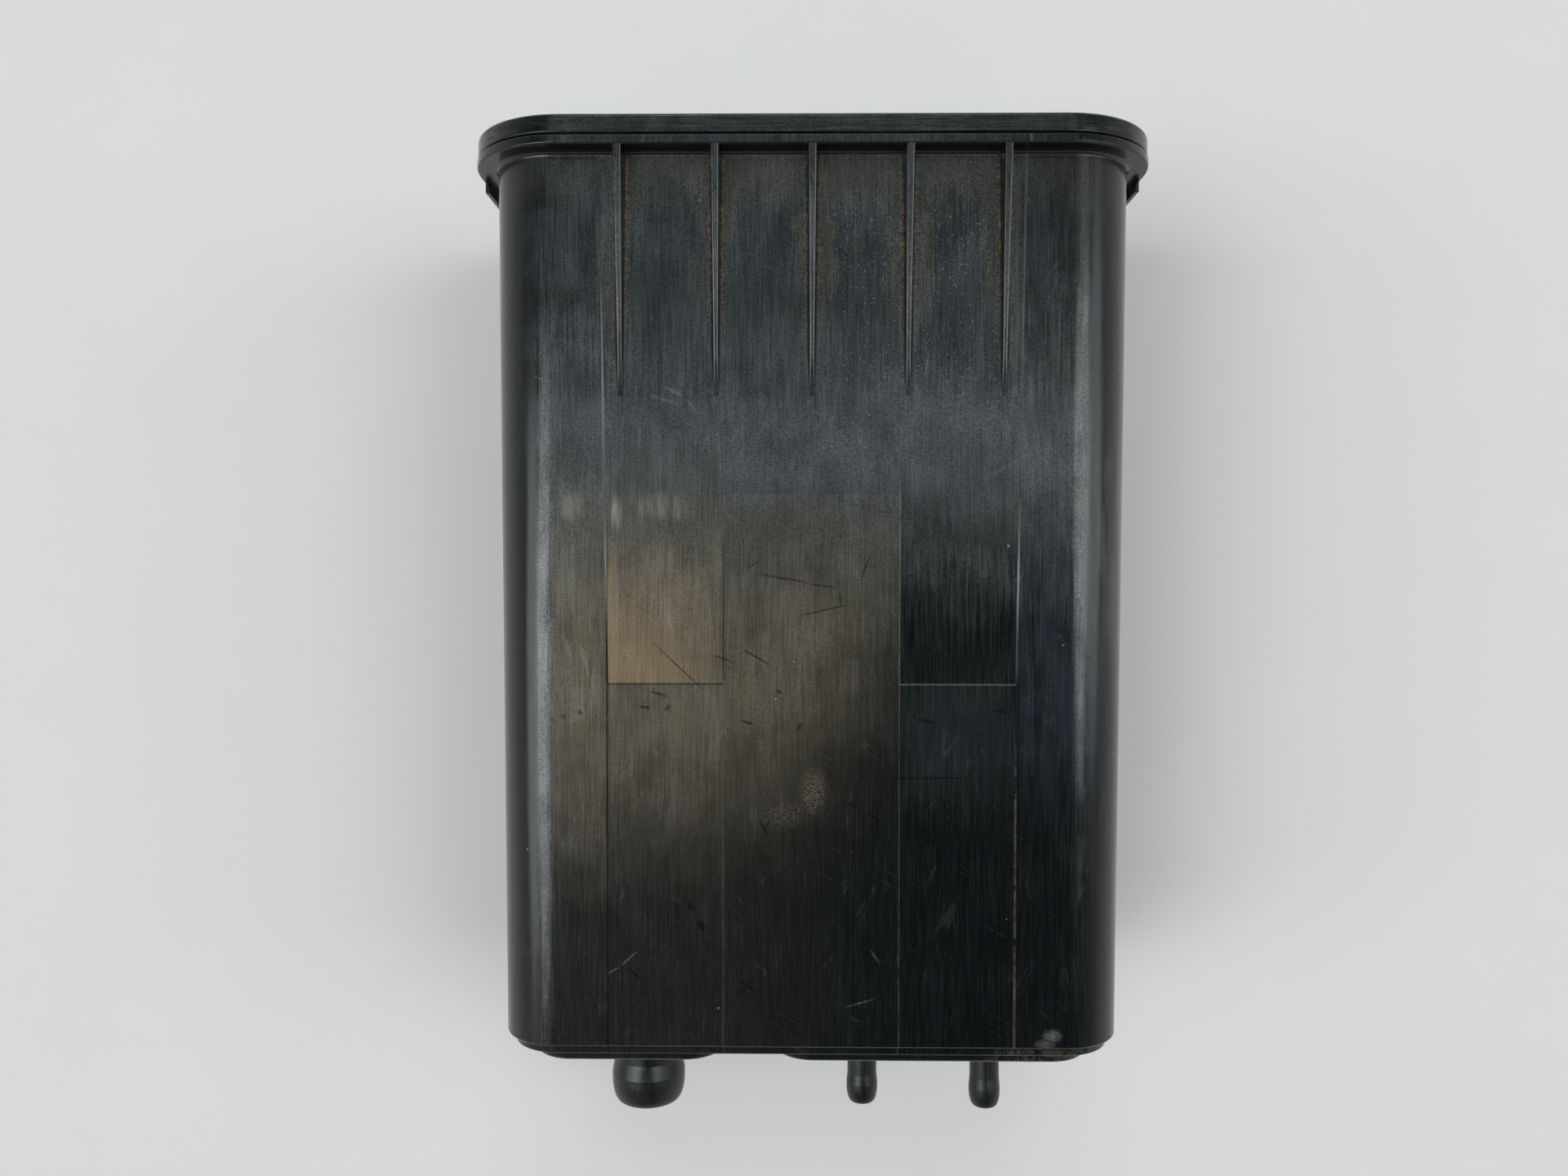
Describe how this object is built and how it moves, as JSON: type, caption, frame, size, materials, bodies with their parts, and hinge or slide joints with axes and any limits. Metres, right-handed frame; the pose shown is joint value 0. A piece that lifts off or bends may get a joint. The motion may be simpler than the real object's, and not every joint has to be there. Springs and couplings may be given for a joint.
{
  "type": "charcoal canister",
  "caption": "Black moulded fuel vapour canister with a ribbed flange, a welded cover and hose nipples, holding sprung carbon beds.",
  "frame": {"origin": "middle of the bottom of the part's box as it lies on its back, at the height of the flange's back edge", "axes": "+X across the width, from the air port to the tank port; +Y along the length, from the ports to the cover; +Z from the back to the front face"},
  "size_m": [0.1656, 0.252, 0.107],
  "materials": {
    "moulded_plastic": "moulded black nylon, worn and dusty",
    "felt": "pressed felt",
    "carbon": "packed carbon granules",
    "grid_plastic": "moulded grey plastic",
    "spring_steel": "drawn wire"
  },
  "bodies": {
    "root": {"case": "moulded_plastic", "cover": "moulded_plastic", "air_port_felt": "felt", "air_bed": "carbon", "air_plate_felt": "felt", "air_plate": "grid_plastic", "air_spring_front": "spring_steel", "air_spring_back": "spring_steel", "tank_port_felt": "felt", "tank_bed": "carbon", "tank_plate_felt": "felt", "tank_plate": "grid_plastic", "tank_spring_inner": "spring_steel", "tank_spring_outer": "spring_steel"}
  },
  "joints": []
}
